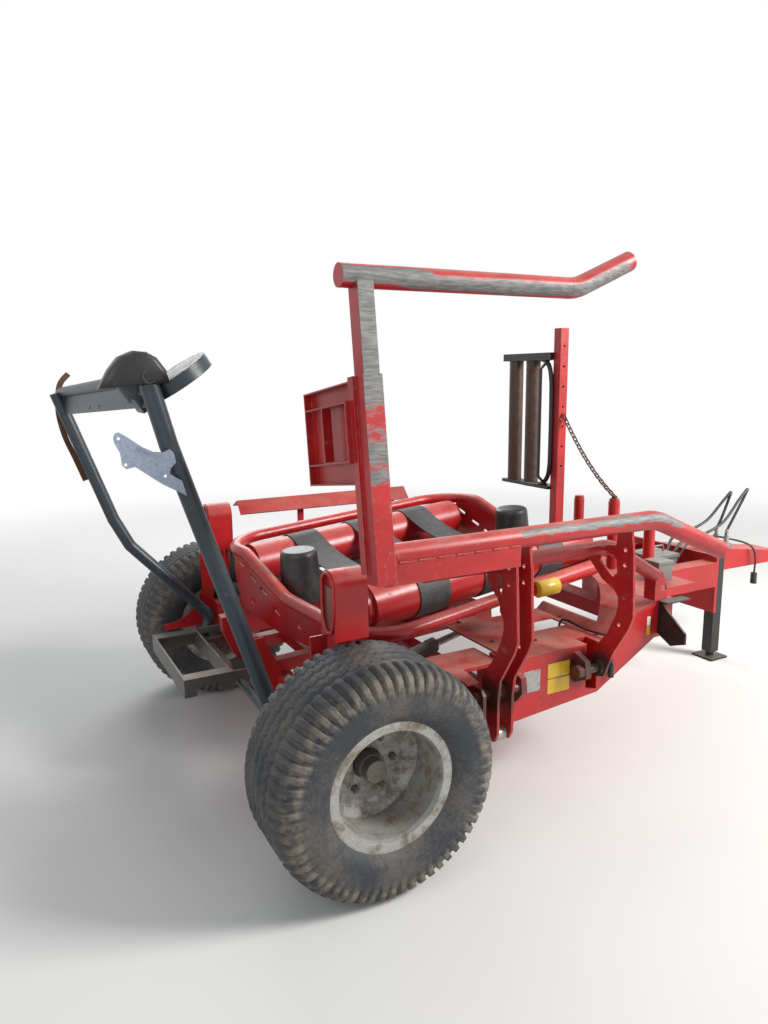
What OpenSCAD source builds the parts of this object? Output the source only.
// Trailed turntable wrapper for round bales, with a loading fork on its right side.
// X points forward to the drawbar, Y to the left, Z up, and the floor is z = 0.
// Every X below is measured from the wheel axle; from_axle() then moves the
// whole machine so that the origin lies under the middle of its outline.

/* [Wheels] */
// Outside diameter of a tyre over its lugs
tyre_d = 860; // [840:5:880]
// Width of a tyre
tyre_w = 400; // [380:5:410]
// Distance between the middle planes of the two wheels
track = 2030; // [2010:5:2060]
// Diameter over the rim's flanges
rim_d = 472; // [460:2:484]
// Distance between the rim's two flanges, outside
rim_w = 340; // [320:5:350]
// Depth of the rim's disc behind the outer flange
disc_inset = 200; // [180:5:215]
// Number of lugs round one row of the tread
lug_count = 44; // [36:1:52]
// Height of the tread lugs
lug_h = 14; // [10:1:18]
// Diameter of the wheel spindle
spindle_d = 50; // [40:1:56]

/* [Chassis] */
// Height of the front cheeks' upper face
cheek_top = 615; // [612:1:620]
// Height of the rear side beams' upper face
beam_top = 592; // [588:1:596]
// Height of the side beams' lower face
beam_bottom = 400; // [385:5:410]
// Distance from the centre line to the outer face of a rear side beam
beam_face = 780; // [770:5:785]
// Width of a side beam
beam_w = 100; // [80:5:120]
// Distance from the centre line to the outer face of a front cheek
cheek_face = 850; // [840:1:855]
// Thickness of the deck plates
deck_t = 8; // [5:1:10]
// Width of the square axle beam
axle_w = 80; // [70:2:84]
// Forward reach of the drawbar eye from the axle
eye_x = 3600; // [3550:10:3700]
// Height of the drawbar eye
eye_z = 585; // [560:5:600]
// Radius of the hole in the drawbar eye
eye_r = 20; // [16:0.5:24]
// Thickness of the drawbar eye
eye_t = 30; // [24:1:36]

/* [Table] */
// Forward place of the table's turning centre
table_x = 810; // [800:5:820]
// Sideways place of the table's turning centre
table_y = 50; // [40:5:60]
// Height of the roller axes above the floor
table_z = 900; // [895:1:910]
// Angle by which the table's front stands up at rest
table_pitch = 3.3; // [2:0.1:4]
// Angle by which the table is turned at rest
table_turn = 9.5; // [0:0.5:12]
// Diameter of the table rollers
roller_d = 210; // [190:5:215]
// Length of the table rollers
roller_len = 1440; // [1400:10:1450]
// Distance between the two roller axes
roller_gap = 980; // [960:5:985]
// Width of a table belt
belt_w = 170; // [120:5:200]
// Thickness of a table belt
belt_t = 5; // [4:1:8]
// Diameter of the hoop tube round the table
hoop_d = 60; // [50:1:64]
// Diameter of a guide cone at its foot
cone_d = 206; // [180:2:220]
// Height of a guide cone
cone_h = 240; // [200:5:260]

/* [Loading fork] */
// Diameter of the fork's two long tubes
fork_d = 80; // [74:1:82]
// Diameter of the short inner tube
cradle_d = 64; // [56:1:66]
// Sideways distance of the fork's pivots from the centre line
pivot_y = 900; // [896:1:904]
// Height of the fork's pivots
pivot_z = 530; // [527:1:533]
// Diameter of the fork's pivot pins
pivot_d = 40; // [34:1:44]
// Sideways distance of the lower long tube from the centre line, fork raised
low_tube_y = 1050; // [1045:1:1056]
// Height of the lower long tube, fork raised
low_tube_z = 1205; // [1202:1:1210]
// Distance from the lower long tube to the upper one
fork_reach = 935; // [900:5:1000]
// Angle by which the raised fork leans over the table
fork_lean = 7.4; // [6:0.1:8]
// Thickness of the fork's arm plates
arm_t = 12; // [8:1:13]
// Clear gap between the two rear arm plates
arm_gap = 58; // [56:1:60]
// Forward place of the rear arm's middle
rear_arm_x = 635; // [630:1:640]
// Forward place of the front arm's middle
front_arm_x = 1200; // [1195:1:1205]

/* [Film stretcher] */
// Forward place of the film mast
mast_x = 2000; // [1980:5:2020]
// Sideways place of the film mast
mast_y = 335; // [320:5:350]
// Height of the film mast's top
mast_top = 2075; // [2000:5:2150]
// Width of the square film mast
mast_w = 60; // [50:2:64]

/* [End tipper] */
// Diameter of the tipper's straight tube
tipper_d = 70; // [60:1:74]
// Forward place of the tipper's hinge axis
tipper_x = -150; // [-154:1:-146]
// Height of the tipper's hinge axis
tipper_z = 400; // [395:1:402]

/* [Hidden] */

$fn = 48;
axle_x = -1415;
wheel_z = tyre_d / 2;
seat_gap = 0.3;
run_gap = 0.05;
red = "firebrick";
dark_red = "darkred";
steel = "silver";
dark_steel = "darkslategray";

module from_axle() {
    translate([axle_x, 0, 0]) children();
}

// A block between two corners, given as [low, high] along each axis
module block(x, y, z) {
    translate([x[0], y[0], z[0]]) cube([x[1] - x[0], y[1] - y[0], z[1] - z[0]]);
}

// A plate of outline [y, z] points, square to X, with its middle at x
module plate_yz(x, t) {
    translate([x - t / 2, 0, 0]) rotate([90, 0, 90]) linear_extrude(t) children();
}

// A plate of outline [x, z] points, square to Y, with its middle at y
module plate_xz(y, t) {
    translate([0, y + t / 2, 0]) rotate([90, 0, 0]) linear_extrude(t) children();
}

// A round bar from point a to point b
module bar(a, b, d) {
    v = b - a;
    translate(a) rotate([0, acos(v.z / norm(v)), atan2(v.y, v.x)]) cylinder(h = norm(v), d = d);
}

function unit(v) = v / norm(v);

// A quarter or part turn of tube that joins two straight runs at corner p
module elbow(p, u, w, turn, bend, d) {
    trim = bend * tan(turn / 2);
    c = p + unit(w - u) * bend / cos(turn / 2);
    e1 = (p - u * trim - c) / bend;
    e3 = cross(e1, u);
    multmatrix([
        [e1.x, u.x, e3.x, c.x],
        [e1.y, u.y, e3.y, c.y],
        [e1.z, u.z, e3.z, c.z],
        [0, 0, 0, 1]
    ]) rotate_extrude(angle = turn) translate([bend, 0]) circle(d = d);
}

// A tube along straight runs between points, with a round bend at each corner.
// A bend is a hair thicker than the runs, whose ends sit a little way inside it.
// The bend is one radius for all corners, or a list with one for each point.
module pipe(points, d, bend) {
    last = len(points) - 1;
    radius = [for (i = [0:last]) is_list(bend) ? bend[i] : bend];
    run = [for (i = [0:last - 1]) unit(points[i + 1] - points[i])];
    turn = [for (i = [0:last]) i == 0 || i == last ? 0 : acos(run[i - 1] * run[i])];
    trim = [for (i = [0:last]) i == 0 || i == last ? 0 : radius[i] * (tan(turn[i] / 2) - 0.03)];
    for (i = [0:last - 1])
        bar(points[i] + run[i] * trim[i], points[i + 1] - run[i] * trim[i + 1], d);
    for (i = [1:1:last - 1]) elbow(points[i], run[i - 1], run[i], turn[i], radius[i], d + 0.8);
}

// A free cord: rings of sides corners round points that follow a smooth curve
function curve_point(p, i, t) =
    let (n = len(p) - 1, a = p[max(i - 1, 0)], b = p[i], c = p[min(i + 1, n)], e = p[min(i + 2, n)])
    0.5 * (2 * b + (c - a) * t + (2 * a - 5 * b + 4 * c - e) * t * t + (3 * b - a - 3 * c + e) * t * t * t);
function curve(p, steps) = [
    for (i = [0:len(p) - 2]) for (k = [0:steps - 1]) curve_point(p, i, k / steps),
    p[len(p) - 1]
];
module cord(route, d, sides, steps) {
    p = curve(route, steps);
    n = len(p);
    m = len(route) - 1;
    dir = [
        unit(route[1] - route[0]),
        for (i = [1:n - 2]) unit(p[i + 1] - p[i - 1]),
        unit(route[m] - route[m - 1])
    ];
    side = [for (v = dir) unit(cross(v, abs(v.z) > 0.9 ? [1, 0.2, 0] : [0.1, 0.2, 1]))];
    // Each ring's first corner is turned to follow the ring before it
    function follow(i, s) = i == n ? [] : let (q = unit(s - dir[i] * (s * dir[i]))) concat([q], follow(i + 1, q));
    e = follow(0, side[0]);
    rings = [
        for (i = [0:n - 1]) for (k = [0:sides - 1])
            p[i] + (e[i] * cos(360 * k / sides) + cross(dir[i], e[i]) * sin(360 * k / sides)) * d / 2
    ];
    walls = [
        for (i = [0:n - 2]) for (k = [0:sides - 1]) each [
            [i * sides + k, (i + 1) * sides + k, (i + 1) * sides + (k + 1) % sides],
            [i * sides + k, (i + 1) * sides + (k + 1) % sides, i * sides + (k + 1) % sides]
        ]
    ];
    ends = [
        [for (k = [0:sides - 1]) k],
        [for (k = [sides - 1:-1:0]) (n - 1) * sides + k]
    ];
    polyhedron(points = rings, faces = concat(walls, ends), convexity = 4);
}

// WHEELS. Each is drawn with its axis along Z and its outer side up.

spindle_end = rim_w / 2 - disc_inset + 55;
disc_z = rim_w / 2 - disc_inset;
disc_t = 12;
hub_cap_z = disc_z + 80;
bead_d = rim_d - 50;
stud_pcd = 205;
stud_count = 6;
stud_d = 18;

module at_wheel(side) {
    translate([0, side * track / 2, wheel_z]) rotate([-side * 90, 0, 0]) children();
}

// One row of lugs: a toothed ring between two heights, its top this far below the crown
module lug_row(z, w, phase, drop) {
    r = tyre_d / 2 - drop;
    pitch = 360 / lug_count;
    translate([0, 0, z]) linear_extrude(w) difference() {
        polygon([
            for (i = [0:lug_count - 1]) for (k = [[0.02, lug_h], [0.1, 0], [0.58, 0], [0.66, lug_h]])
                (r - k[1]) * [cos((i + k[0] + phase) * pitch), sin((i + k[0] + phase) * pitch)]
        ]);
        circle(r = r - lug_h - 14);
    }
}

module tyre() {
    r = tyre_d / 2;
    w = tyre_w / 2;
    b = bead_d / 2 + seat_gap;
    crown = r - lug_h;
    color("dimgray") union() {
        rotate_extrude() polygon([
            [b - 6, -rim_w / 2 + 10 + seat_gap], [rim_d / 2 + 4, -rim_w / 2 + 12], [r - 150, -w], [r - 95, -w + 2],
            [r - 48, -w + 14], [r - 30, -w + 46], [crown, -w + 84], [crown, w - 84], [r - 30, w - 46],
            [r - 48, w - 14], [r - 95, w - 2], [r - 150, w], [rim_d / 2 + 4, rim_w / 2 - 12],
            [b - 6, rim_w / 2 - 10 - seat_gap]
        ]);
        // Each row as [from, width, phase, drop]
        for (row = [[-w + 18, 62, 0, 17], [-w + 79, w - 79, 0.5, 0], [-0.5, w - 78.5, 0, 0], [w - 80, 62, 0.5, 17]])
            lug_row(row[0], row[1], row[2], row[3]);
    }
}

module rim() {
    h = rim_w / 2;
    b = bead_d / 2;
    color("lightgray") difference() {
        rotate_extrude() polygon([
            [b - 8, -h + 10], [b, -h + 10], [rim_d / 2 - 8, -h + 6], [rim_d / 2, -h + 4], [rim_d / 2, -h],
            [rim_d / 2 - 8, -h], [b - 8, -h + 2], [b - 14, -h + 20], [b - 14, disc_z - 30],
            [150, disc_z - disc_t], [45 + seat_gap + 12, disc_z - disc_t], [45 + seat_gap + 12, disc_z],
            [145, disc_z], [b - 14, disc_z + 24], [b - 14, h - 20],
            [b - 8, h - 2], [rim_d / 2 - 8, h], [rim_d / 2, h], [rim_d / 2, h - 4],
            [rim_d / 2 - 8, h - 6], [b, h - 10], [b - 8, h - 10], [b - 8, h - 26],
            [b - 6, h - 28], [b - 6, -h + 28], [b - 8, -h + 26]
        ]);
        for (i = [0:stud_count - 1]) rotate(i * 360 / stud_count)
            translate([stud_pcd / 2, 0, disc_z - 20]) cylinder(h = 40, d = stud_d + 1);
    }
}

module hub() {
    color("gray") difference() {
        union() {
            translate([0, 0, disc_z - disc_t - 16]) cylinder(h = 16 - seat_gap, d = 250);
            translate([0, 0, disc_z - 110]) cylinder(h = 150, d = 100);
            translate([0, 0, disc_z + 30]) cylinder(h = hub_cap_z - disc_z - 30, d = 82);
            for (i = [0:stud_count - 1]) rotate(i * 360 / stud_count) translate([stud_pcd / 2, 0, 0]) {
                translate([0, 0, disc_z - disc_t - 8]) cylinder(h = 40, d = stud_d);
                translate([0, 0, disc_z + seat_gap]) cylinder(h = 14, d = 30, $fn = 6);
            }
        }
        translate([0, 0, disc_z - 111]) cylinder(h = spindle_end + 5 - disc_z + 111, r = spindle_d / 2 + run_gap);
    }
}

module tyre_right() { at_wheel(-1) tyre(); }
module rim_right() { at_wheel(-1) rim(); }
module hub_right() { at_wheel(-1) hub(); }
module tyre_left() { at_wheel(1) tyre(); }
module rim_left() { at_wheel(1) rim(); }
module hub_left() { at_wheel(1) hub(); }

// CHASSIS

axle_end = track / 2 + disc_z - 125;

module axle() {
    color(red) {
        block([-axle_w / 2, axle_w / 2], [-axle_end, axle_end], [wheel_z - axle_w / 2, wheel_z + axle_w / 2]);
        for (side = [-1, 1]) translate([0, side * axle_end, wheel_z]) rotate([-side * 90, 0, 0]) {
            cylinder(h = track / 2 + spindle_end - axle_end, d = spindle_d);
            cylinder(h = 12, d = 76);
        }
        // Lugs and pins of the table's tilt hinge
        for (side = [-1, 1]) {
            plate_xz(table_y + side * lug_y, 12) polygon([
                [-10, wheel_z + axle_w / 2 - 1], [-95, tilt_z + 26], [tilt_x - 26, tilt_z + 26],
                [tilt_x - 26, tilt_z - 20], [-110, wheel_z + 40], [-95, wheel_z - 10], [-axle_w / 2 + 1, wheel_z - 30]
            ]);
            translate([tilt_x, table_y + side * (lug_y - 40), tilt_z]) rotate([-90, 0, 0])
                cylinder(h = 80, d = tilt_pin_d, center = true);
        }
        // Lugs of the tipper's hinge
        for (y = [-560, 560]) difference() {
            plate_xz(y, 12) polygon([
                [-axle_w / 2 + 1, wheel_z - 38], [-axle_w / 2 + 1, wheel_z + 30],
                [tipper_x - 20, tipper_z + 40], [tipper_x - 36, tipper_z + 20],
                [tipper_x - 36, tipper_z - 20], [tipper_x - 20, tipper_z - 40]
            ]);
            translate([tipper_x, y - 20, tipper_z]) rotate([-90, 0, 0])
                cylinder(h = 40, r = tipper_shaft_d / 2 + run_gap);
        }
    }
}

// Side view of a front cheek, as [x, z] points
cheek_outline = [
    [745, cheek_top], [745, 345], [1240, 385], [1588, 580],
    [1588, 750], [1452, 704], [1315, cheek_top]
];

module side_beams() {
    low_bar = [350, 410];
    mid_bar = [720, 800];
    color(red) {
        for (side = [-1, 1]) mirror([0, side < 0 ? 1 : 0, 0]) difference() {
            union() {
                block([-70, 760], [beam_face - beam_w, beam_face], [beam_bottom, beam_top]);
                plate_xz(cheek_face - beam_w / 2 - 25, beam_w + 50) polygon(cheek_outline);
            }
            // Seat for the axle beam
            block([-axle_w / 2, axle_w / 2], [0, 900], [wheel_z - axle_w / 2, wheel_z + axle_w / 2]);
            // Window for the fork's cylinder and crank
            block([rear_arm_x - 60, rear_arm_x + 60], [0, 900], [300, 584]);
            // Slot for the front arm's foot
            block([front_arm_x - 32, front_arm_x + 32], [cheek_face - 80, 900], [400, 900]);
        }
        // Cross bars
        block(low_bar, [-beam_face + beam_w, beam_face - beam_w], [400, 460]);
        block(mid_bar, [-beam_face + beam_w, beam_face - beam_w], [360, 440]);
        // Rear lug and pin of the fork
        plate_yz(rear_arm_x - 87, 16) polygon([
            [-beam_face + 1, 570], [-pivot_y - 30, 570], [-pivot_y - 45, 545],
            [-pivot_y - 45, 420], [-pivot_y - 10, 310], [-beam_face + 1, 410]
        ]);
        translate([rear_arm_x - 110, -pivot_y, pivot_z]) rotate([0, 90, 0]) cylinder(h = 240, d = pivot_d);
        plate_yz(760, 28) polygon([[-830, 420], [-830, 590], [-pivot_y - 20, 575], [-pivot_y - 30, 510], [-pivot_y, 470]]);
        // Front lug, pin and nut of the fork
        plate_yz(front_arm_x - 90, 30) polygon([
            [-cheek_face + 1, 460], [-cheek_face + 1, 600], [-pivot_y - 20, 575], [-pivot_y - 30, 500]
        ]);
        translate([front_arm_x - 130, -pivot_y, pivot_z]) rotate([0, 90, 0]) cylinder(h = 162, d = pivot_d);
        translate([front_arm_x - 140, -pivot_y, pivot_z]) rotate([0, 90, 0]) cylinder(h = 30, d = 62, $fn = 6);
        // Bracket and pin of the fork's cylinder
        for (x = [-30, 30]) plate_yz(rear_arm_x + x, 10)
            polygon([[-224, 360], [-224, 410], [-160, 410], [-160, 360]]);
        block([rear_arm_x - 35, mid_bar[0] + 1], [-166, -150], [360, 415]);
        translate([rear_arm_x - 33, fork_pin.y, fork_pin.z]) rotate([0, 90, 0]) cylinder(h = 66, d = ram_pin_d);
        // Bracket and pin of the tilt cylinder
        for (y = [-34, 34]) plate_xz(tilt_pin.y + y, 10)
            polygon([
                [low_bar[1] - 1, 410], [low_bar[1] - 1, 459], [tilt_pin.x - 15, 468],
                [tilt_pin.x + 10, 468], [tilt_pin.x + 22, 458], [tilt_pin.x + 22, 438], [tilt_pin.x + 7, 428]
            ]);
        translate([tilt_pin.x, tilt_pin.y - 36, tilt_pin.z]) rotate([-90, 0, 0]) cylinder(h = 72, d = ram_pin_d);
    }
}

module deck() {
    low = cheek_top + seat_gap;
    rise = 4 * seat_gap;
    color("indianred") {
        difference() {
            plate_xz(0, 2 * cheek_face) polygon([
                [760, low], [1313, low], [1451, 704 + rise], [1588, 750 + rise],
                [1588, 750 + deck_t + rise], [1448, 704 + deck_t + rise], [1310, low + deck_t], [760, low + deck_t]
            ]);
            // Opening for the turning gear under the table
            block([700, 1270], [-330, 330], [500, 900]);
            translate([1270, 0, 500]) cylinder(h = 400, r = 330);
            // Slot beside the tilt cylinder, and room for the front arm's foot
            block([1000, 1280], [-600, -480], [500, 700]);
            block([front_arm_x - 32, front_arm_x + 32], [-900, -cheek_face + 80], [400, 900]);
            table_room();
        }
        // Plate over the window for the fork's crank
        translate([0, 0, beam_top + seat_gap]) linear_extrude(deck_t) polygon([
            [483, -585], [744, -585], [744, -779], [556, -779], [540, -915], [483, -915]
        ]);
    }
}

// The space that the turning table sweeps above the chassis
module table_room() {
    translate([table_x, table_y, 652]) cylinder(h = 300, r = 935);
}

module front_frame() {
    z = 750 + 4 * seat_gap;
    color(red) difference() {
        union() {
            // Cross member behind the mast
            block([1588.3, 1700], [-cheek_face, cheek_face], [580, z + deck_t]);
            // Rails that carry the mast and the drawbar
            for (y = [-300, 300]) block([1699, 2641], [y - 50, y + 50], [560, 700]);
            block([1699, 2160], [-600, 450], [700, 700 + deck_t]);
            block([2180, 2641], [-350, 350], [560 - deck_t, 560]);
            block([2640, 2660], [-350, 350], [390, 740]);
        }
        table_room();
    }
}

module drawbar() {
    side = [[2660, 550], [2660, 738], [eye_x - 130, eye_z + 45], [eye_x - 60, eye_z + 40], [eye_x - 60, eye_z - 40]];
    color(red) {
        for (y = [-95, 95]) plate_xz(y, 10) polygon(side);
        plate_xz(0, 180) polygon([
            [2660, 730], [2660, 738], [eye_x - 130, eye_z + 45], [eye_x - 60, eye_z + 40],
            [eye_x - 60, eye_z + 32], [eye_x - 131, eye_z + 37]
        ]);
        block([eye_x - 100, eye_x - 60], [-90, 90], [eye_z - 36, eye_z + 36]);
    }
}

module towing_eye() {
    color(steel) difference() {
        union() {
            translate([eye_x, 0, eye_z - eye_t / 2]) cylinder(h = eye_t, r = eye_r + 28);
            block([eye_x - 59.7, eye_x - 30], [-36, 36], [eye_z - eye_t / 2, eye_z + eye_t / 2]);
        }
        translate([eye_x, 0, eye_z - eye_t]) cylinder(h = 2 * eye_t, r = eye_r);
    }
}

module jack_leg() {
    color(dark_steel) {
        block([2870, 2940], [-174, -104], [40, 700]);
        block([2830, 2980], [-214, -64], [0, 12]);
        translate([2905, -139, 12]) cylinder(h = 30, d = 50);
        block([2885, 2925], [-104, -100.3], [580, 680]);
    }
}

// Open rectangular frame of plate that stands behind the axle
module tipper_base() {
    x = [-430, -axle_w / 2 - seat_gap];
    color("rosybrown") difference() {
        union() {
            for (y = [-35, 645]) plate_xz(y, 10) polygon([
                [x[0], 400], [x[0], 485], [x[1], 485], [x[1], 432], [-100, 432],
                [-130, 450], [-170, 450], [-195, 430], [-205, 400]
            ]);
            for (edge = [x[0], -215]) block([edge, edge + 10], [-40, 650], [400, 485]);
            block([x[0], -205], [-40, 30], [477, 485]);
            block([x[0], -205], [580, 650], [477, 485]);
        }
        translate([-320, -60, 400]) rotate([-90, 0, 0]) cylinder(h = 60, r = 55);
    }
}

// Rounded lamp housing: upright, with a half round top
lamp_w = 130;
lamp_h = 255;
lamp_depth = 130;
lamp_x = -70;
lamp_y = 830;
lamp_z = 867;
module lamp_box() {
    crown = lamp_h - lamp_w / 2;
    difference() {
        union() {
            block([0, lamp_depth], [-lamp_w / 2, lamp_w / 2], [0, crown]);
            translate([0, 0, crown]) rotate([0, 90, 0]) cylinder(h = lamp_depth, d = lamp_w);
        }
        block([-1, 12], [-lamp_w / 2 + 14, lamp_w / 2 - 14], [24, crown]);
        translate([-1, 0, crown]) rotate([0, 90, 0]) cylinder(h = 13, d = lamp_w - 28);
    }
}

module lamp_boxes() {
    color(dark_red) for (side = [-1, 1]) mirror([0, side < 0 ? 1 : 0, 0]) {
        translate([lamp_x, lamp_y, lamp_z]) lamp_box();
        // Leg on the side beam
        block([0, 8], [745, 800], [beam_top + seat_gap, lamp_z + 1]);
        block([-30, 50], [beam_face - 80, beam_face], [beam_top + seat_gap, beam_top + 8]);
    }
}

module lamp_lenses() {
    color("maroon") for (side = [-1, 1]) translate([lamp_x, side * lamp_y, lamp_z]) {
        block([4, 12 - seat_gap], [-lamp_w / 2 + 15, lamp_w / 2 - 15], [25, lamp_h - lamp_w / 2]);
    }
}

module mast() {
    color(red) difference() {
        block([mast_x - mast_w / 2, mast_x + mast_w / 2], [mast_y - mast_w / 2, mast_y + mast_w / 2],
              [700 + deck_t + seat_gap, mast_top]);
        block([mast_x - mast_w / 2 + 5, mast_x + mast_w / 2 - 5],
              [mast_y - mast_w / 2 + 5, mast_y + mast_w / 2 - 5], [1000, mast_top + 1]);
        for (z = [1250:120:mast_top - 80])
            translate([mast_x, mast_y - mast_w, z]) rotate([-90, 0, 0]) cylinder(h = 2 * mast_w, d = 14);
    }
}

// Round posts, as [x, y, top]
posts = [[2000, -150, 1110], [2230, -205, 945], [2200, 350, 1045]];
module film_posts() {
    for (p = posts) {
        foot = p.x < 2180 ? 700 + deck_t + seat_gap : p.y > 0 ? 700 + seat_gap : 560 + seat_gap;
        color(red) translate([p.x, p.y, foot]) cylinder(h = p.z - foot - 15, d = 64);
        color(steel) translate([p.x, p.y, p.z - 15.01]) cylinder(h = 15.01, d = 56);
    }
}

module valve_box() {
    color("gray") {
        block([2300, 2500], [-180, 0], [560 + seat_gap, 720]);
        block([2290, 2510], [-190, 10], [720, 740]);
        pipe([[2320, -90, 739], [2320, -90, 775], [2480, -90, 775], [2480, -90, 739]], 12, 16);
        // Control box on the plate behind the mast
        block([1988, 2092], [-502, -403], [700 + deck_t + seat_gap, 800]);
        block([1983, 2097], [-507, -398], [799, 815]);
    }
}

module step_bracket() {
    color(dark_steel) {
        plate_yz(1610, 10) polygon([[-850.3, 760], [-1010, 640], [-1010, 590], [-930, 560], [-850.3, 600]]);
        block([1605, 1760], [-900, -850.3], [750, 758]);
    }
}

module side_cover() {
    color("indianred") {
        plate_yz(770, 1150) polygon([
            [1040, 1006], [1046, 1000], [1112, 1071], [1192, 1033], [1192, 1040], [1112, 1078]
        ]);
        for (leg = [[600, beam_face], [1250, cheek_face]]) {
            block([leg.x - 20, leg.x + 20], [leg.y + seat_gap, 1112], [560, 568]);
            block([leg.x - 20, leg.x + 20], [1104, 1112], [560, 1068]);
        }
    }
}

module stretcher_frame() {
    inner = mast_y + mast_w / 2 + seat_gap;
    color(dark_steel) {
        block([mast_x - 55, mast_x + 55], [inner, 830], [1890, 1935]);
        block([mast_x - 50, mast_x + 50], [inner, 830], [1100, 1120]);
        // Guard bow in front of the rollers
        translate([mast_x, 0, 0]) plate_xz(410, 14) polygon([
            [-10, 1912], [-97, 1843], [-97, 1177], [-10, 1102], [-10, 1116], [-83, 1183], [-83, 1837], [-10, 1898]
        ]);
    }
}

module stretcher_rollers() {
    color("sienna") for (y = [590, 760]) translate([mast_x, y, 1120 + seat_gap])
        cylinder(h = 770 - 2 * seat_gap, d = 90);
}

// Chain from the mast to the foremost post, thick and thin lengths in turn
module mast_chain() {
    top = [mast_x + 2, mast_y - mast_w / 2, 1560];
    foot = [posts[0].x, posts[0].y, posts[0].z + seat_gap];
    n = 20;
    function hang(t) = [
        top.x + (foot.x - top.x) * t,
        top.y - 8 + (foot.y + 8 - top.y) * t,
        top.z + (foot.z + 12 - top.z) * t - 180 * t * (1 - t)
    ];
    color("saddlebrown") {
        bar(top - [0, seat_gap, 0], top - [0, 12, 0], 18);
        translate(foot) cylinder(h = 18, d = 32);
        for (i = [0:n - 1]) {
            a = hang(i / n);
            b = hang((i + 1) / n);
            reach = i % 2 == 0 ? 0 : 4;
            bar(a - unit(b - a) * reach, b + unit(b - a) * reach, i % 2 == 0 ? 17 : 9);
        }
    }
}

// Height of the drawbar's sloping top above the floor, at a given X
function drawbar_top(x) = 738 - (x - 2660) * (693 - eye_z) / (eye_x - 2790);

module hose_couplings() {
    color(steel) for (y = [-40, 40]) {
        plate_xz(y, 44) polygon([
            [3090, drawbar_top(3090) + 0.4], [3150, drawbar_top(3150) + 0.4], [3150, 701], [3090, 701]
        ]);
        translate([3120, y, 700]) cylinder(h = 50, d = 34);
    }
}

hose_d = 18;
cable_d = 12;
hose_a_route = [
    [2500.4, -50, 660], [2530, -50, 660], [2585, -34, 722], [2650, 0, 772], [2760, 40, 790], [2900, 60, 800],
    [3050, 60, 850], [3180, 55, 960], [3250, 50, 1020], [3230, 45, 980], [3160, 40, 850], [3120, 40, 785],
    [3120, 40, 750.4]
];
hose_b_route = [
    [2500.4, -90, 660], [2530, -90, 660], [2585, -88, 722], [2650, -80, 772], [2760, -65, 790], [2900, -60, 800],
    [3060, -60, 860], [3200, -55, 990], [3280, -50, 1050], [3260, -45, 1000], [3170, -40, 860], [3120, -40, 785],
    [3120, -40, 750.4]
];
lamp_cable_route = [
    [2500.4, -130, 640], [2530, -130, 640], [2592, -126, 712], [2650, -120, 762], [2750, -60, 770],
    [2900, -5, 765], [3020, 0, 755], [3150, -20, 730], [3260, -110, 690], [3300, -130, 610], [3300, -130, 500.4]
];
deck_cable_route = [
    [1262, -699.3, 560], [1262, -660, 560], [1264, -590, 568], [1266, -556, 600], [1267, -572, 638],
    [1270, -620, 645], [1280, -720, 634], [1288, -838, 640], [1294, -868, 626], [1299, -872, 592],
    [1300, -870, 510.4]
];

module hose_a() { color("black") cord(hose_a_route, hose_d, 8, 2); }
module hose_b() { color("black") cord(hose_b_route, hose_d, 8, 2); }
module lamp_cable() { color("black") cord(lamp_cable_route, cable_d, 8, 2); }
module lamp_plug() { color("black") translate([3300, -130, 430]) cylinder(h = 70, d = 40); }
module deck_cable() { color("black") cord(deck_cable_route, cable_d, 8, 1); }
module deck_plug() { color("black") translate([1300, -870, 450]) cylinder(h = 60, d = 28); }

// TILT FRAME AND TABLE

tilt_x = -150;
tilt_z = 640;
tilt_pin_d = 30;
lug_y = 212;
ram_pin_d = 25;
tilt_pin = [445, -270, 449];
tilt_eye = [920, -270, 562];

module at_tilt() {
    translate([table_x, table_y, table_z]) rotate([0, -table_pitch, 0]) children();
}

module tilt_frame() {
    color(red) at_tilt() {
        translate([0, 0, -312]) cylinder(h = 27 - seat_gap, d = 400);
        for (side = [-1, 1]) difference() {
            plate_xz(side * 170, 60) polygon([
                [330, -372], [330, -312], [-890, -312], [-912, -245], [-940, -175],
                [-1005, -175], [-1005, -245], [-960, -372]
            ]);
            tilt_bore(side);
        }
        block([-330, 330], [-200, 200], [-322, -309]);
        block([-700, -640], [-200, 200], [-372, -312]);
    }
    // Lugs over the tilt cylinder's eye
    color(red) difference() {
        union() {
            at_tilt() block([60, 160], [-318 - table_y, -140], [-312, -302]);
            for (y = [-34, 34]) plate_xz(tilt_eye.y + y, 10) polygon([
                [890, 597], [978, 602], [960, 545], [940, 537], [900, 537], [888, 545]
            ]);
        }
        translate([tilt_eye.x, tilt_eye.y - 60, tilt_eye.z]) rotate([-90, 0, 0]) cylinder(h = 120, r = ram_pin_d / 2 + 0.5);
    }
}

// The tilt hinge's bore, as seen in the tilted frame
module tilt_bore(side) {
    rotate([0, table_pitch, 0]) translate([tilt_x - table_x, side * 170, tilt_z - table_z])
        rotate([-90, 0, 0]) cylinder(h = 100, r = tilt_pin_d / 2 + run_gap, center = true);
}

module at_table() {
    translate([table_x, table_y, table_z]) rotate([0, -table_pitch, 0]) rotate([0, 0, table_turn]) children();
}

half_len = roller_len / 2;
roller_cap = 30;
plate_x = half_len + 45;
hoop_x = plate_x + 5 + hoop_d / 2 - 8;
hoop_y = roller_gap / 2 + roller_d / 2 + 60;
hoop_far_y = 630;
hoop_bend = 165;
near_bend = 225;
far_bend = 250;
high_z = 108;
low_z = -90;
// Where the hoop's end runs slope, as [y, z] points
slope = [[-30, -45], [340, high_z]];
cone_place = [half_len - 75, -80];

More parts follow.
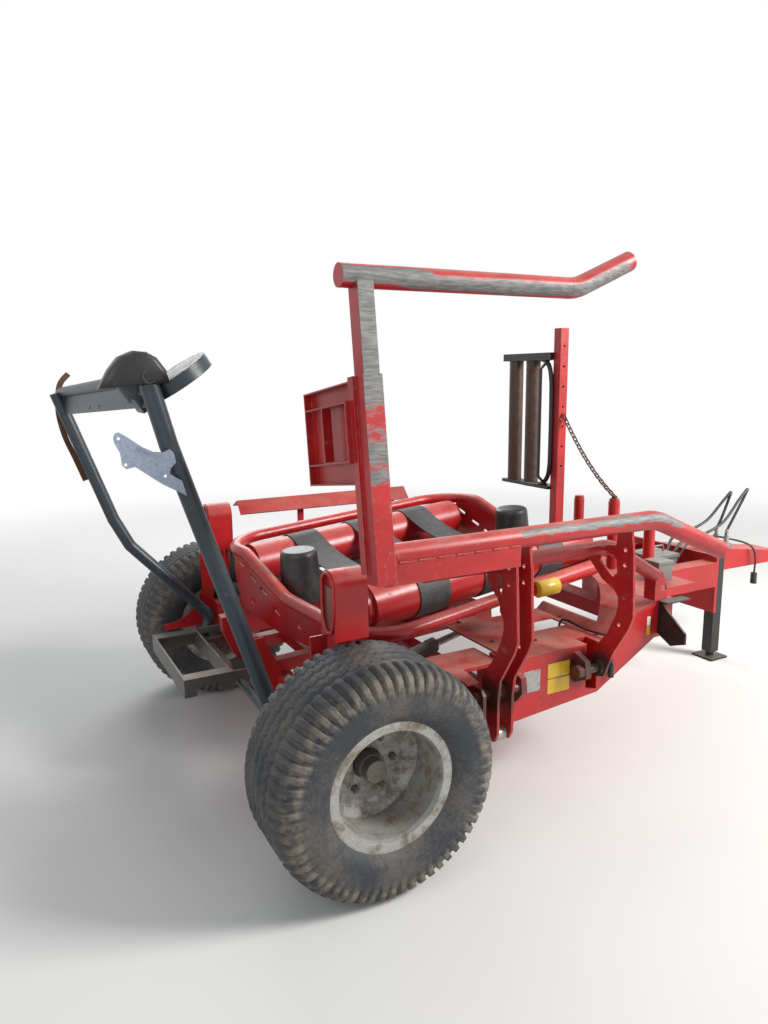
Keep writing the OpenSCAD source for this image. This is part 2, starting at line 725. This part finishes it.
// End plate under the hoop's end run, as [y, z] points
end_outline = [
    [475, high_z - 6], [340, high_z - 4], [-30, -49], [-430, -76], [-450, 36], [-530, 36], [-545, -86],
    [-556, -92], [-556, -112], [-530, -160], [-470, -215], [-300, -245], [82, -255], [292, -231],
    [445, -213], [482, -165], [516, -70], [522, -22], [510, 60]
];
// Slots in an end plate, along its sloping edge
end_slots = [[450, 31], [332, -27], [233, -72], [117, -149]];

module table_frame() {
    color(red) at_table() {
        for (end = [-1, 1]) difference() {
            plate_yz(end * plate_x, 10) polygon(end_outline);
            for (p = end_slots) plate_yz(end * plate_x, 20) translate(p) rotate(22) square([64, 18], center = true);
            plate_yz(end * plate_x, 20) translate([355, -147]) circle(d = 40);
            plate_yz(end * plate_x, 20) translate([-84, -169]) circle(d = 34);
        }
        pipe([
            [200, -hoop_y, low_z], [hoop_x, -hoop_y, low_z], [hoop_x, slope[0].x, slope[0].y],
            [hoop_x, slope[1].x, slope[1].y], [hoop_x, hoop_far_y, high_z], [-hoop_x, hoop_far_y, high_z],
            [-hoop_x, slope[1].x, slope[1].y], [-hoop_x, slope[0].x, slope[0].y],
            [-hoop_x, -hoop_y, low_z], [190, -hoop_y, low_z]
        ], hoop_d, [0, near_bend, hoop_bend, hoop_bend, far_bend, far_bend, hoop_bend, hoop_bend, near_bend, 0]);
        // Sleeve over the near side's front half
        bar([120, -hoop_y, low_z], [610, -hoop_y, low_z], hoop_d + 16);
        block([-plate_x, plate_x], [-60, 60], [-255, -195]);
        translate([0, 0, -285]) cylinder(h = 31, d = 330);
        // Arms and spindles of the guide cones
        for (end = [-1, 1]) {
            block([end * cone_place.x - 45, end * cone_place.x + 45], [-125, 125], [-215, -196]);
            translate([end * cone_place.x, end * cone_place.y, -205]) cylinder(h = 105 - seat_gap, d = 30);
        }
        for (end = [-1, 1]) for (y = [-1, 1]) translate([end * (half_len + seat_gap), y * roller_gap / 2, 0])
            rotate([0, end * 90, 0]) cylinder(h = 46, d = 40);
    }
}

module table_rollers() {
    at_table() for (y = [-1, 1]) translate([-half_len, y * roller_gap / 2, 0]) rotate([0, 90, 0]) {
        color(red) translate([0, 0, roller_cap]) cylinder(h = roller_len - 2 * roller_cap, d = roller_d);
        color("black") for (z = [0, roller_len - roller_cap - 0.01])
            translate([0, 0, z]) cylinder(h = roller_cap + 0.01, d = roller_d - 36);
    }
}

belt_x = [-380, 0, 380];

// How far a belt's upper and lower strands turn off a roller's top and bottom
belt_dip = 28;
belt_droop = 12;

// A belt's line at radius r round both rollers, as [y, z] points
function belt_line(r) = let (
    half = roller_gap / 2,
    n = 14,
    m = 22,
    top = half - r * sin(belt_dip),
    low = half + r * sin(belt_droop),
    turn = 180 + belt_dip - belt_droop,
    shell = r / cos(turn / m / 2)
) concat(
    [for (i = [0:n]) let (t = 1 - 2 * i / n)
        [top * t, r * cos(belt_dip) - top * tan(belt_dip) / 2 * (1 - t * t)]],
    [for (i = [0.5:m]) let (a = 90 - belt_dip + turn * (i / m)) [-half - shell * cos(180 - a), shell * sin(a)]],
    [for (i = [0:n]) let (t = 2 * i / n - 1)
        [low * t, -r * cos(belt_droop) - low * tan(belt_droop) / 2 * (1 - t * t)]],
    [for (i = [0.5:m]) let (a = -90 + belt_droop + turn * (i / m)) [half + shell * cos(a), shell * sin(a)]]
);

module table_belts() {
    inner = roller_d / 2 + seat_gap;
    color("dimgray") at_table() for (x = belt_x) plate_yz(x, belt_w) difference() {
        polygon(belt_line(inner + belt_t));
        polygon(belt_line(inner));
    }
}

module table_cones() {
    color("black") at_table() for (end = [-1, 1]) translate([end * cone_place.x, end * cone_place.y, -100])
        rotate_extrude() polygon([
            [0, 0], [cone_d / 2, 0], [cone_d / 2 - 15, cone_h - 22], [cone_d / 2 - 18, cone_h - 10],
            [cone_d / 2 - 28, cone_h - 2], [cone_d / 2 - 40, cone_h], [0, cone_h]
        ]);
}

// A cylinder's barrel from pin a towards point b, open at reach, with a bored eye along Y or X
module barrel(a, b, reach, d, rod_d, eye_d, eye_w, along_y) {
    v = unit(b - a);
    difference() {
        union() {
            bar(a + v * 20, a + v * (d / 2 + 4), 44);
            bar(a + v * (d / 2 + 3), a + v * reach, d);
            bar(a + v * (reach - 46), a + v * (reach - 4), d + 6);
            translate(a) rotate(along_y ? [-90, 0, 0] : [0, 90, 0]) cylinder(h = eye_w, d = eye_d, center = true);
        }
        bar(a + v * (d / 2 + 8), a + v * (reach + 1), rod_d + 2 * run_gap);
        translate(a) rotate(along_y ? [-90, 0, 0] : [0, 90, 0])
            cylinder(h = eye_w + 2, r = ram_pin_d / 2 + run_gap, center = true);
    }
}

tilt_reach = 300;
tilt_rod_d = 34;
module tilt_barrel() {
    color("olivedrab") barrel(tilt_pin, tilt_eye, tilt_reach, 66, tilt_rod_d, 52, 48, true);
}
module tilt_rod() {
    v = unit(tilt_eye - tilt_pin);
    color(steel) {
        bar(tilt_pin + v * 43, tilt_eye, tilt_rod_d);
        translate(tilt_eye) rotate([-90, 0, 0]) cylinder(h = 48, d = 50, center = true);
    }
}

// LOADING FORK, raised. Its pivots lie along X.

fork_pin = [rear_arm_x, -200, 385];
fork_eye = [rear_arm_x, -920, 360];

// An arm's outline as [y, z] points from the pivot; y grows to the left
arm_head = [
    [-73, 565], [-80, 640], [-151, 657], [-168, 554], [-183, 276], [-162, 222], [-78, 83]
];
arm_hook = [[-44, 174], [-88, 266], [-96, 304], [-95, 343], [-71, 370]];
front_tip = 90;
rear_tip = 15;
front_foot = [[-30, -35], [20, -50], [85, -45], [90, 20], [45, 60]];
rear_foot = [[-66, 0], [-66, -150], [-48, -188], [10, -195], [20, -150], [36, -30], [45, 60]];

module arm_plate(x, foot, tip) {
    crook = [[tip - 85, 404], [tip, 480], [tip - 3, 540]];
    translate([0, -pivot_y, pivot_z]) difference() {
        plate_yz(x, arm_t) polygon(concat(arm_head, foot, arm_hook, crook));
        plate_yz(x, 2 * arm_t) polygon([
            [tip - 65, 480], [max(tip - 87, -57), 520], [-60, 522], [-78, 500], [-84, 448], [-60, 424]
        ]);
        for (p = [[-125, 555], [-125, 490], [-107, 225]])
            plate_yz(x, 2 * arm_t) translate(p) circle(d = 20);
    }
}

// The fork's upper part leans; y and z are measured from the lower long tube
module at_lean() {
    translate([0, -low_tube_y, low_tube_z]) rotate([-fork_lean, 0, 0]) children();
}

post_x = 30;
cradle_y = -896;
cradle_z = 1071;
module fork_frame() {
    inside = [60 + 1, 70 + 1];
    color(red) difference() {
        union() {
            arm_plate(front_arm_x, front_foot, front_tip);
            translate([front_arm_x - 20, -pivot_y, pivot_z]) rotate([0, 90, 0]) cylinder(h = 40, d = 66);
            for (s = [-1, 1]) arm_plate(rear_arm_x + s * (arm_gap + arm_t) / 2, rear_foot, rear_tip);
            translate([rear_arm_x - arm_gap / 2 - 1, -pivot_y, pivot_z]) rotate([0, 90, 0])
                cylinder(h = arm_gap + 2, d = 66);
            pipe([
                [post_x, -low_tube_y, low_tube_z], [1330, -low_tube_y, low_tube_z],
                [1750, -low_tube_y, low_tube_z - 180]
            ], fork_d, 240);
            block([post_x, rear_arm_x - arm_gap / 2 - arm_t / 2], [-low_tube_y - 36, -low_tube_y + 36],
                  [low_tube_z - 100, low_tube_z - 20]);
            pipe([[290, cradle_y, cradle_z], [1230, cradle_y, cradle_z], [1572, -845, 884]], cradle_d, 160);
            // Foot that stands just over the chassis while the fork is raised
            difference() {
                plate_xz(-862, 8) polygon([
                    [1560, 766], [1560, 900], [1572, 908], [1599, 906], [1615, 885], [1642, 808], [1642, 766]
                ]);
                plate_xz(-862, 12) polygon([[1599, 831], [1628, 841], [1636, 810], [1600, 814]]);
            }
            plate_yz(1564, 8) polygon([[-862, 766], [-862, 880], [-800, 872], [-800, 766]]);
            at_lean() block([post_x - 36, post_x + 36], [-41, 41], [-95, 610]);
            // Flat bar and framed panel beside the post
            at_lean() block([post_x - 46, post_x - 34], [20, 60], [-60, 610]);
            at_lean() block([post_x - 6, post_x], [35, 485], [245, 600]);
            at_lean() for (z = [245, 320, 530, 594]) block([post_x - 36, post_x], [35, 485], [z, z + 6]);
            at_lean() block([post_x - 36, post_x], [479, 485], [245, 600]);
            at_lean() difference() {
                block([post_x - 66, post_x - 30], [50, 258], [322, 532]);
                block([post_x - 70, post_x - 28], [58, 250], [330, 524]);
            }
        }
        // Bores on the pivots
        for (x = [rear_arm_x, front_arm_x]) translate([x - 60, -pivot_y, pivot_z]) rotate([0, 90, 0])
            cylinder(h = 120, r = pivot_d / 2 + run_gap);
        // Room for the inner post
        at_lean() block([post_x - inside[0] / 2, post_x + inside[0] / 2], [-inside[1] / 2, inside[1] / 2], [45, 620]);
    }
}

module fork_post() {
    color(red) {
        at_lean() block([post_x - 30, post_x + 30], [-35, 35], [400, fork_reach]);
        at_lean() pipe([[-50, 0, fork_reach], [960, 0, fork_reach], [1250, 0, fork_reach + 120]], fork_d, 200);
    }
}

fork_ram_reach = 420;
fork_rod_d = 38;
module fork_barrel() {
    color("gray") barrel(fork_pin, fork_eye, fork_ram_reach, 76, fork_rod_d, 54, 46, false);
}
module fork_rod() {
    v = unit(fork_eye - fork_pin);
    color(steel) {
        bar(fork_pin + v * 230, fork_eye, fork_rod_d);
        translate(fork_eye) rotate([0, 90, 0]) cylinder(h = 54, d = 54, center = true);
    }
}

// END TIPPER, folded up for the road

tipper_shaft_d = 48;
tipper_right_y = -450;
tipper_left_y = 700;
right_tube = [
    [tipper_x, tipper_right_y, tipper_z], [-522, tipper_right_y, 1566], [-602, tipper_right_y, 1880]
];
cross_tube = [[-585, -500, 1813], [-765, 730, 1742]];
cross_d = 50;
cross_way = unit(cross_tube[1] - cross_tube[0]);

module tipper_frame() {
    color(dark_steel) {
        pipe(right_tube, tipper_d, 120);
        pipe([
            [tipper_x, tipper_left_y, tipper_z], [-109, tipper_left_y, 528], [-501, tipper_left_y, 965],
            [-572, tipper_left_y, 1109], [-790, tipper_left_y, 1742]
        ], tipper_d - 10, 60);
        // Top cross piece: an open tube over a drilled strip
        difference() {
            bar(cross_tube[0], cross_tube[1], cross_d);
            bar(cross_tube[0] - cross_way, cross_tube[0] + 40 * cross_way, cross_d - 12);
        }
        translate(cross_tube[0]) rotate([0, 3.3, 98.3]) difference() {
            block([60, 1190], [-3, 3], [-105, -15]);
            for (x = [620, 760]) translate([x, 10, -85]) rotate([90, 0, 0]) cylinder(h = 20, d = 16);
        }
        // Hinge shaft
        translate([tipper_x, -600, tipper_z]) rotate([-90, 0, 0]) cylinder(h = 1330, d = tipper_shaft_d);
    }
}

// Thick round end plate and its bearing block, square to the tube
module tipper_disc() {
    color(dark_steel) difference() {
        translate([-452, -300, 1803]) rotate([0, -33, 0]) {
            translate([0, 0, -25]) cylinder(h = 50, d = 300);
            translate([-112, 0, 24]) cylinder(h = 78, d = 170);
            translate([-185, -110, -25]) cube([130, 130, 60]);
        }
        bar(cross_tube[0] - 60 * cross_way, cross_tube[1], cross_d + 2 * seat_gap);
        bar(right_tube[1], right_tube[2] + unit(right_tube[2] - right_tube[1]) * 80, tipper_d + 2 * seat_gap);
        translate(cross_tube[0]) rotate([0, 3.3, 98.3]) block([50, 1200], [-3.4, 3.4], [-105.4, -10]);
    }
}

// Drilled plate on the near side of the right tube, as [x, z] points
module tipper_plate() {
    y = tipper_right_y - tipper_d / 2 - 4 - 2 * seat_gap;
    color("lightsteelblue") difference() {
        plate_xz(y, 8) polygon([
            [-719, 1605], [-712, 1619], [-700, 1623], [-675, 1607], [-624, 1568], [-587, 1549], [-553, 1545],
            [-529, 1556], [-515, 1542], [-508, 1507], [-529, 1486], [-534, 1466], [-490, 1437], [-476, 1381],
            [-560, 1429], [-653, 1499], [-683, 1493], [-696, 1506], [-699, 1549], [-717, 1588]
        ]);
        for (p = [[-702, 1601], [-684, 1508], [-549, 1459]])
            plate_xz(y, 12) translate(p) circle(d = 12);
    }
}

from_axle() axle();
from_axle() side_beams();
from_axle() deck();
from_axle() front_frame();
from_axle() drawbar();
from_axle() towing_eye();
from_axle() jack_leg();
from_axle() tipper_base();
from_axle() lamp_boxes();
from_axle() lamp_lenses();
from_axle() mast();
from_axle() film_posts();
from_axle() valve_box();
from_axle() step_bracket();
from_axle() side_cover();
from_axle() stretcher_frame();
from_axle() stretcher_rollers();
from_axle() mast_chain();
from_axle() hose_couplings();
from_axle() hose_a();
from_axle() hose_b();
from_axle() lamp_cable();
from_axle() lamp_plug();
from_axle() deck_cable();
from_axle() deck_plug();
from_axle() tyre_right();
from_axle() rim_right();
from_axle() hub_right();
from_axle() tyre_left();
from_axle() rim_left();
from_axle() hub_left();
from_axle() tilt_frame();
from_axle() tilt_barrel();
from_axle() tilt_rod();
from_axle() table_frame();
from_axle() table_rollers();
from_axle() table_belts();
from_axle() table_cones();
from_axle() fork_frame();
from_axle() fork_post();
from_axle() fork_barrel();
from_axle() fork_rod();
from_axle() tipper_frame();
from_axle() tipper_disc();
from_axle() tipper_plate();
